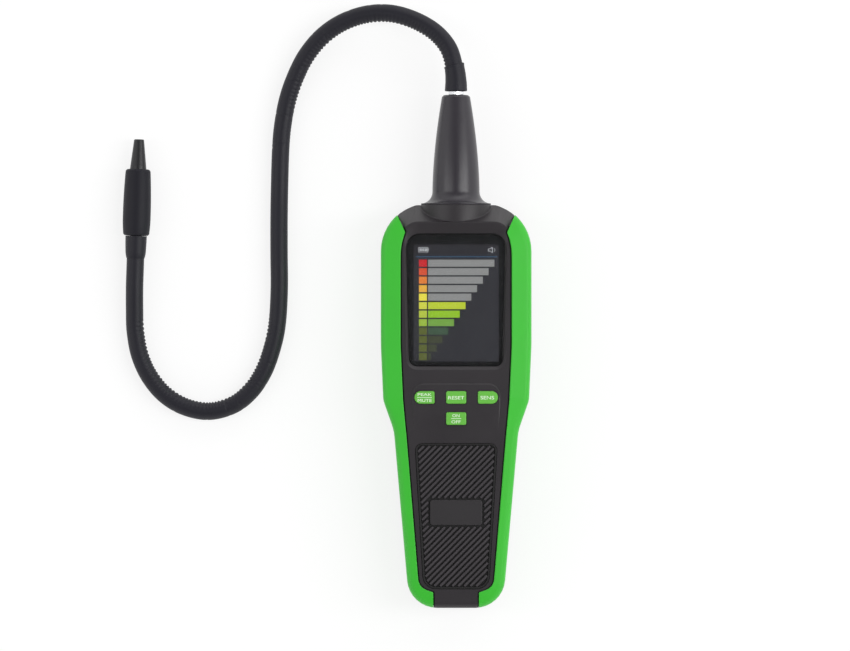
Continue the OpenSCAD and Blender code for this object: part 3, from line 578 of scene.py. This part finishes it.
def make_probe():
    """Boot, grip and nozzle, turned about the probe's axis."""
    ahead = Vector(HOSE_POINTS[-1]) - Vector(HOSE_POINTS[-2])
    lean = math.atan2(ahead.x, ahead.y)
    place = Matrix.Translation(route[-1]) @ Matrix.Rotation(-lean, 4, "Z") @ ALONG_Y
    arc = [math.pi / 2 * k / 6 for k in range(7)]

    profile = [
        (0.0, 0.0), (4.35, 0.0), (4.55, 0.12), (4.68, 0.5), (4.92, 1.6), (5.1, 2.8), (5.22, 5.0), (5.32, 8.0),
        (5.4, 11.2), (0.0, 11.4),
    ]
    boot = lathe("probe_boot", profile, place, MAT["hose"], "hose_rubber")

    low, high, edge_r = 11.4, 44.8, 1.4
    profile = [(0.0, low), (4.9, low)]
    profile += [(6.6 - edge_r * (1 - math.sin(a)), low + edge_r * (1 - math.cos(a))) for a in arc]
    for k in range(1, 24):
        u = k / 24
        r = GRIP_R - 0.4 * max(0.0, 1 - u / 0.25) ** 2 - 0.7 * max(0.0, (u - 0.3) / 0.7) ** 2
        profile.append((r, low + edge_r + (high - low - 2 * edge_r) * u))
    profile += [(6.3 - edge_r * (1 - math.cos(a)), high - edge_r * (1 - math.sin(a))) for a in arc]
    profile += [(4.6, high), (4.3, high - 0.25), (4.1, high - 0.25), (4.1, high - 2.6), (0.0, high - 2.6)]
    grip = lathe("probe_body", profile, place, MAT["probe"], "hose_rubber")

    root_r, tip_r, edge_r, length = 4.15, 2.55, 0.6, 15.0
    top = high + length
    profile = [(0.0, high - 2.4), (3.9, high - 2.4), (4.0, high - 0.3), (root_r, high)]
    profile += [(root_r - (root_r - tip_r) * k / 8, high + (length - edge_r) * k / 8) for k in range(1, 8)]
    profile += [(tip_r - edge_r * (1 - math.cos(a)), top - edge_r * (1 - math.sin(a))) for a in arc]
    profile += [(1.25, top - 0.02), (1.05, top - 0.2), (1.0, top - 4.0), (0.0, top - 4.0)]
    nozzle = lathe("probe_tip", profile, place, MAT["nozzle"], "nozzle_plastic")
    return boot, grip, nozzle


hose = make_hose()
collar = make_collar()
boot, grip, nozzle = make_probe()
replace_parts(hose, "gooseneck")
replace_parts(collar, "hose_collar")
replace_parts(boot, "probe_sleeve")
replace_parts(grip, "probe_grip", "gas_sensor")
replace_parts(nozzle, "probe_nozzle", "dust_filter")
shell("hex_fitting", MAT["chrome"], 0.3)


# Spout

def make_spout():
    """Turned spout: flange and spigot inside the neck, flared base, tapering wall, chamfered mouth."""
    place = Matrix.Translation((0.0, SEAT_Y, SPOUT_Z)) @ ALONG_Y
    base_r, neck_r, mouth_r = 17.5, 11.8, 7.1
    base_h, neck_h, mouth_h = 0.8, 6.8, SPOUT_LEN - 1.1
    profile = [(7.5, -7.15), (12.6, -7.15), (12.6, -5.15), (10.5, -5.15), (10.5, 0.02)]
    profile += [(base_r - 0.2, 0.02), (base_r, 0.2)]
    for k in range(19):
        a = math.pi / 2 * k / 18
        r = base_r - (base_r - neck_r) * math.sin(a)
        profile.append((r, base_h + (neck_h - base_h) * (1 - math.cos(a))))
    for k in range(1, 25):
        u = k / 24
        profile.append((neck_r - (neck_r - mouth_r) * u ** 1.7, neck_h + (mouth_h - neck_h) * u))
    profile += [(7.0, SPOUT_LEN - 0.85), (6.3, SPOUT_LEN - 0.15), (6.1, SPOUT_LEN - 0.02), (5.9, SPOUT_LEN)]
    profile += [(3.5, SPOUT_LEN), (3.4, SPOUT_LEN - 0.1), (3.4, SPOUT_LEN - 12.0), (7.5, 6.0)]
    material, slot = MAT["spout"], "housing_plastic"
    return lathe("spout_body", profile, place, material, slot, segments=128, loop=True, sharp=55.0)


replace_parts(make_spout(), "probe_spout")


# Lens and display

LENS_OUTLINE = rounded([(-23.3, -7.5, 4.0), (23.3, -7.5, 4.0), (25.0, 58.5, 7.0), (-25.0, 58.5, 7.0)])


def make_lens():
    """Clear sheet with a black rim round its cut edge and a black border printed on its underside."""
    foot, pocket_gap, edge_r, rim_width = LENS_SEAT + 0.06, 0.02, 0.2, 0.45
    outline = grown(LENS_OUTLINE, -pocket_gap)
    inner = grown(outline, -rim_width)
    rings = [level(inner, foot), level(outline, foot)]
    rings += edge_rings(outline, LENS_TOP, edge_r) + [level(inner, LENS_TOP)]
    loft("lens_rim", rings, MAT["rim"], "lens_acrylic", loop=True)
    sheet = grown(inner, -0.005)
    rings = [level(sheet, foot), level(sheet, LENS_TOP)]
    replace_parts(loft("lens_sheet", rings, MAT["lens"], "lens_acrylic"), "screen_lens")

    window = bar(42.4, 58.2, 0.8, 0.8, 0.0, GLASS_Y)
    border = grown(LENS_OUTLINE, -0.15)
    low, high = LENS_SEAT + 0.01, LENS_SEAT + 0.04
    rings = [level(border, low), level(border, high), level(window, high), level(window, low)]
    loft("lens_border", rings, MAT["mask"], "lens_acrylic", loop=True)


# Colours of the display, from 0 to 255
WHITE, GREY, BLUE, DARK = (216, 218, 220), (146, 146, 144), (46, 84, 114), (38, 36, 41)
RED, ORANGE, YELLOW, LIME = (208, 34, 40), (236, 132, 54), (246, 232, 76), (160, 192, 62)
BRIGHT, LEAF, FERN, MOSS = (194, 212, 50), (150, 200, 36), (118, 168, 66), (62, 86, 64)
OLIVE, SHADE = (93, 101, 41), (64, 68, 47)


def blend(a, b, share):
    """Colour between two others."""
    return tuple(round(p + (q - p) * share) for p, q in zip(a, b))


def box(x0, y0, x1, y1):
    """Corners of an upright oblong."""
    return [(x0, y0), (x1, y0), (x1, y1), (x0, y1)]


def battery_sign():
    """Outlines of a battery with three charge marks, a hair apart."""
    sign = [box(-18.38, 49.1, -14.32, 49.4), box(-18.38, 51.4, -14.32, 51.7)]
    sign += [box(-18.7, 49.1, -18.4, 51.7), box(-14.3, 49.1, -14.0, 51.7), box(-13.98, 49.8, -13.5, 51.0)]
    return sign + [box(-18.1 + 1.28 * k, 49.7, -17.1 + 1.28 * k, 51.1) for k in range(3)]


def speaker_sign():
    """Outlines of a loudspeaker, drawn with strokes, and of one sound wave."""
    half_stroke = 0.16
    horn = [(16.0, 49.75), (16.9, 49.75), (18.0, 48.9), (18.0, 51.7), (16.9, 50.85), (16.0, 50.85)]
    sign = []
    for (x0, y0), (x1, y1) in zip(horn, horn[1:] + horn[:1]):
        side = half_stroke * Vector((y0 - y1, x1 - x0)).normalized()
        sign.append([
            (x0 - side.x, y0 - side.y), (x1 - side.x, y1 - side.y),
            (x1 + side.x, y1 + side.y), (x0 + side.x, y0 + side.y),
        ])
    x, y, outer_r, inner_r = 18.3, 50.3, 1.1, 0.82
    bow = [math.radians(-60 + 120 * k / 8) for k in range(9)]
    outer = [(x + outer_r * math.cos(a), y + outer_r * math.sin(a)) for a in bow]
    inner = [(x + inner_r * math.cos(a), y + inner_r * math.sin(a)) for a in reversed(bow)]
    return sign + [outer + inner]


def panel_shapes():
    """What the display shows, as colour and outline: status line, signs and the twelve rows of its scale."""
    shapes = [(DARK, box(-21.2, 47.6, 21.2, 53.1)), (BLUE, box(-20.0, 46.75, 20.5, 47.2))]
    shapes += [(WHITE, outline) for outline in battery_sign() + speaker_sign()]
    marks = [blend(RED, ORANGE, k / 2) for k in range(2)] + [blend(ORANGE, YELLOW, k / 2) for k in range(2)]
    marks += [blend(YELLOW, LIME, k / 3) for k in range(4)] + [OLIVE] * 4
    bars = [GREY] * 5 + [BRIGHT, LEAF, FERN, MOSS] + [SHADE] * 3
    top, pitch, height = 45.5, 4.225, 3.5
    longest, shorter_by = 19.0, 2.87
    for i in range(12):
        high = top - pitch * i
        shapes.append((marks[i], box(-18.5, high - height, -14.55, high)))
        shapes.append((bars[i], box(-13.95, high - height, longest - shorter_by * i, high)))
    return shapes


def make_display():
    """Lit panel on the display's glass, with its marks a hair above it."""
    ground_levels = (GLASS_TOP + 0.005, GLASS_TOP + 0.03)
    mark_levels = (GLASS_TOP + 0.031, GLASS_TOP + 0.05)
    panel = bar(42.7, 58.5, 0.3, 0.3, 0.0, GLASS_Y)
    rings = [level(panel, z) for z in ground_levels]
    loft("display_ground", rings, lit("display_ground", srgb(43, 42, 47)), "display_panel")
    colours = {}
    for colour, outline in panel_shapes():
        colours.setdefault(colour, []).append(outline)
    for number, (colour, outlines) in enumerate(colours.items()):
        verts, faces = [], []
        for outline in outlines:
            faces += ring_faces(2, len(outline), start=len(verts))
            verts += [(x, y, z) for z in mark_levels for x, y in outline]
        name = "display_marks_%02d" % number
        new_piece(name, verts, faces, lit(name, srgb(*colour)), "display_panel")


make_lens()
make_display()


# Keys

# Words of each key: text, offset from the key's middle, width and height
LEGENDS = {
    "mute": [("PEAK", 0.1, 1.45, 7.0, 1.35), ("MUTE", 0.1, -1.5, 7.0, 1.5)],
    "reset": [("RESET", 0.0, -0.15, 8.0, 1.7)],
    "sens": [("SENS", -0.3, -0.1, 6.8, 1.8)],
    "power": [("ON", -0.1, 1.45, 3.6, 1.5), ("OFF", -0.1, -1.6, 4.6, 1.5)],
}
# Length of the line between the two words of a key
RULES = {"mute": 7.4, "power": 5.0}
PRINT_FOOT, PRINT_TOP = KEY_TOP - 0.005, KEY_TOP + 0.025


def key_outline(name, inset=0.0):
    """Outline of a key: the two at the sides have a round outer end."""
    w, h = KEY_SIZE[0] - 2 * inset, KEY_SIZE[1] - 2 * inset
    x, y = KEY_PLACES[name]
    full, slight = KEY_SIZE[1] / 2 - 0.05 - inset, max(0.9 - inset, 0.1)
    return bar(w, h, full if name == "mute" else slight, full if name == "sens" else slight, x, y)


def embolden(mesh, amount):
    """Moves the walls of raised letters outwards, for a heavier stroke, but sharp corners not too far."""
    steepest, sharpest = 0.5, 0.25
    work = bmesh.new()
    work.from_mesh(mesh)
    bmesh.ops.remove_doubles(work, verts=work.verts, dist=1e-5)
    bmesh.ops.recalc_face_normals(work, faces=work.faces)
    moves = []
    for v in work.verts:
        walls = [f.normal for f in v.link_faces if abs(f.normal.z) < steepest]
        mean = sum(walls, Vector()) / max(len(walls), 1)
        moves.append(mean * amount / max(mean.length_squared, sharpest))
    for v, move in zip(work.verts, moves):
        v.co += move
    work.to_mesh(mesh)
    work.free()
    mesh.shade_flat()


def make_legend(name, text, x, y, width, height):
    """Printed word on a key, as a thin mesh of the given width and height in mm about a point."""
    stroke = 0.015
    curve = bpy.data.curves.new(name, "FONT")
    curve.body = text
    curve.extrude = 0.05
    letters = bpy.data.objects.new(name + "_letters", curve)
    scene.collection.objects.link(letters)
    bpy.context.view_layer.update()
    mesh = bpy.data.meshes.new_from_object(letters.evaluated_get(bpy.context.evaluated_depsgraph_get()))
    bpy.data.objects.remove(letters)
    embolden(mesh, stroke)
    low = [min(v.co[i] for v in mesh.vertices) for i in range(3)]
    high = [max(v.co[i] for v in mesh.vertices) for i in range(3)]
    begin = (x - width / 2, y - height / 2, PRINT_FOOT)
    end = (x + width / 2, y + height / 2, PRINT_TOP)
    for v in mesh.vertices:
        for i in range(3):
            share = (v.co[i] - low[i]) / (high[i] - low[i])
            v.co[i] = (begin[i] + (end[i] - begin[i]) * share) * MM
    mesh.materials.clear()
    mesh.materials.append(MAT["legend"])
    piece = bpy.data.objects.new(name, mesh)
    scene.collection.objects.link(piece)
    return piece


def make_key(name):
    """Rubber key with a rolled edge, on its flange and boss, with its legend."""
    boss_r, boss_foot = 2.0, 30.2
    flange_out, flange_foot, flange_top = 0.9, 30.6, 31.5
    edge_r = 0.5
    body = "key_" + name
    x, y = KEY_PLACES[name]
    outline = key_outline(name)
    flange = grown(outline, flange_out)
    turns = [math.atan2(p.y - y, p.x - x) for p in outline]
    boss = [Vector((x + boss_r * math.cos(a), y + boss_r * math.sin(a))) for a in turns]
    rings = [level(boss, boss_foot), level(boss, flange_foot)]
    rings += [level(flange, flange_foot), level(flange, flange_top), level(outline, flange_top)]
    for k in range(7):
        a = math.pi / 2 * k / 6
        rolled = key_outline(name, edge_r * (1 - math.cos(a)))
        rings.append(level(rolled, KEY_TOP - edge_r * (1 - math.sin(a))))
    cap = loft(body + "_cap", rings, MAT["key"], "key_rubber", body=body)
    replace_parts(cap, body)
    for text, dx, dy, w, h in LEGENDS[name]:
        word = make_legend("%s_word_%s" % (body, text.lower()), text, x + dx, y + dy, w, h)
        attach(word, body)
    if name in RULES:
        line = bar(RULES[name], 0.28, 0.1, 0.1, x, y)
        rings = [level(line, PRINT_FOOT), level(line, PRINT_TOP)]
        loft(body + "_rule", rings, MAT["legend"], "key_rubber", body=body)


for key in KEY_PLACES:
    make_key(key)


# Grip pad, in a frame that lies on the handle's face

ON_HANDLE = Matrix.Translation((0.0, WAIST_Y, BODY_T)) @ Matrix.Rotation(HANDLE_TILT, 4, "X")
PAD_OUTLINE = rounded([
    (-16.25, PAD_FOOT, 6.5), (16.25, PAD_FOOT, 6.5), (20.5, PAD_TOP, 3.5), (-20.5, PAD_TOP, 3.5),
])
PLATE_W, PLATE_H = 26.0, 12.6


def crossings(outline, origin, along):
    """Distances along a line at which it crosses a closed outline, in order."""
    across = Vector((-along.y, along.x))
    found = []
    for i, p in enumerate(outline):
        a, b = outline[i - 1] - origin, p - origin
        da, db = a.dot(across), b.dot(across)
        if (da < 0) != (db < 0):
            t = da / (da - db)
            found.append(a.dot(along) + t * (b - a).dot(along))
    return sorted(found)


def rib_spans():
    """Start and end of every rib: slanting lines inside the pad's rim that stop short of its plate."""
    pitch, rim_width, plate_gap, shortest = 2.12, 1.2, 0.85, 1.2
    along = Vector((1.0, 1.0)).normalized()
    across = Vector((-along.y, along.x))
    inside = grown(PAD_OUTLINE, -rim_width)
    plate = bar(PLATE_W + 2 * plate_gap, PLATE_H + 2 * plate_gap, 1.2, 1.2, 0.0, PLATE_Y)
    middle = Vector((0.0, (PAD_TOP + PAD_FOOT) / 2))
    spans = []
    for k in range(-40, 41):
        origin = middle + across * pitch * k
        ends = crossings(inside, origin, along)
        if len(ends) < 2:
            continue
        stops = crossings(plate, origin, along)
        parts = [(ends[0], stops[0]), (stops[1], ends[1])] if len(stops) == 2 else [(ends[0], ends[1])]
        spans += [(origin + along * a, origin + along * b) for a, b in parts if b - a > shortest]
    return spans


def rib_mesh(a, b, start):
    """Half-round rib from a to b with rounded ends, as points and faces that count from start."""
    foot, shoulder, top, half_width, sides = -1.1, -0.35, 0.2, 0.66, 8
    along = (b - a).normalized()
    across = Vector((-along.y, along.x))
    length = (b - a).length
    # Distance along the rib, with its share of the full width and height
    stations = [(0.0, 0.30), (0.08, 0.62), (0.25, 0.86), (0.55, 1.0)]
    stations += [(length - s, share) for s, share in reversed(stations)]
    verts = []
    for s, share in stations:
        p = a + along * s
        for k in range(-1, sides + 2):
            turn = math.pi * min(max(k, 0), sides) / sides
            q = p + across * half_width * share * math.cos(turn)
            height = shoulder + (top - shoulder) * math.sin(turn) - foot
            on_foot = k < 0 or k > sides
            verts.append((q.x, q.y, foot if on_foot else foot + height * share))
    return verts, ring_faces(len(stations), sides + 3, start=start)


def make_pad():
    """Rubber pad: thin floor with a rounded rim, slanting ribs and a plain raised plate; the floor and rim
    carry painted shade and the ribs a painted highlight.
    """
    pad_foot, pad_floor, rim_width = -1.2, -1.08, 1.0
    inner = grown(PAD_OUTLINE, -rim_width)
    rings = [level(PAD_OUTLINE, pad_foot)] + edge_rings(PAD_OUTLINE, 0.0, 0.3)
    rings += [level(grown(inner, 0.3), 0.0), level(grown(inner, 0.1), -0.08)]
    rings += [level(inner, -0.3), level(inner, pad_floor)]
    # Floor and rim painted near-black: painted shade between the ribs.
    pad = loft("pad_base", rings, MAT["groove"], "pad_rubber", place=ON_HANDLE)
    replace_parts(pad, "grip_pad")

    verts, faces = [], []
    for a, b in rib_spans():
        points, sides = rib_mesh(a, b, len(verts))
        verts += points
        faces += sides
    # Ribs painted lighter than the plate: a painted highlight.
    new_piece("pad_ribs", verts, faces, MAT["rib"], "pad_rubber", place=ON_HANDLE, sharp=60.0)

    plate_foot, plate_top = -1.1, 0.1
    plate = bar(PLATE_W, PLATE_H, 1.5, 1.5, 0.0, PLATE_Y)
    rings = [level(plate, plate_foot)] + edge_rings(plate, plate_top, 0.4)
    loft("pad_plate", rings, MAT["pad"], "pad_rubber", place=ON_HANDLE)


make_pad()


# Housing, bumpers and what shows at the back

SCREW_PLACES = [(-28.2, 48.0), (28.2, 48.0), (-15.7, -108.0), (15.7, -108.0)]


def make_screws():
    """Pan-head screws with a cross recess, sunk in the back: their heads look down."""
    long, wide = 1.45, 0.36
    corner = math.atan(wide / long)
    turns = []
    for k in range(4):
        arm = math.pi / 2 * k
        turns += [arm + t for t in (-corner, -corner / 2, 0.0, corner / 2, corner)]
        turns += [arm + math.radians(t) for t in (24, 34, 45, 56, 66)]

    def cross(t):
        """Radius of the recess in a direction."""
        fold = abs((t + math.pi / 4) % (math.pi / 2) - math.pi / 4)
        return min(long / math.cos(fold), wide / max(math.sin(fold), 1e-6))

    # Share of the recess, or radius, and height
    recess = [(0.7, 3.1), (0.97, 2.1), (1.0, 2.04)]
    head = [(1.9, 2.02), (2.35, 2.1), (2.6, 2.28), (2.7, 2.55), (2.7, 4.0), (1.35, 4.0), (1.35, 25.0)]
    outlines = [([share * cross(t) for t in turns], z) for share, z in recess]
    outlines += [([r] * len(turns), z) for r, z in head]
    verts, faces = [], []
    for x, y in SCREW_PLACES:
        faces += ring_faces(len(outlines), len(turns), start=len(verts))
        for radii, z in outlines:
            verts += [(x + r * math.cos(t), y + r * math.sin(t), z) for r, t in zip(radii, turns)]
    screws = new_piece("cross_screws", verts, faces, MAT["steel"], "contact_metal", sharp=30.0)
    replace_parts(screws, "cover_screws")


make_screws()

# Pieces inside, which keep the part's own mesh
PAINT = {
    "pad": ["keypad_mat"],
    "steel": ["battery_contact", "battery_spring", "board_screws"],
    "panel": ["display_module"],
    "board": ["main_board"],
    "carbon": ["pill_mute", "pill_reset", "pill_sens", "pill_power", "buzzer"],
    "ivory": ["sensor_socket"],
    "lead": ["sensor_lead"],
    "cell": ["battery_cell"],
}
for paint, names in PAINT.items():
    for name in names:
        nodes[name].data.materials.clear()
        nodes[name].data.materials.append(MAT[paint])

CROWN_SPAN = (59.5, math.inf)
BUMPER_SPAN = (-120.6, 58.0)
shell("front_cover", MAT["housing"], 0.4, span=CROWN_SPAN)
shell("rear_cover", MAT["housing"], 0.2, span=CROWN_SPAN)
shell("bumper_left", MAT["green"], 0.5, span=BUMPER_SPAN)
shell("bumper_right", MAT["green"], 0.5, span=BUMPER_SPAN)
shell("battery_door", MAT["housing"], 0.2, body="battery_door")
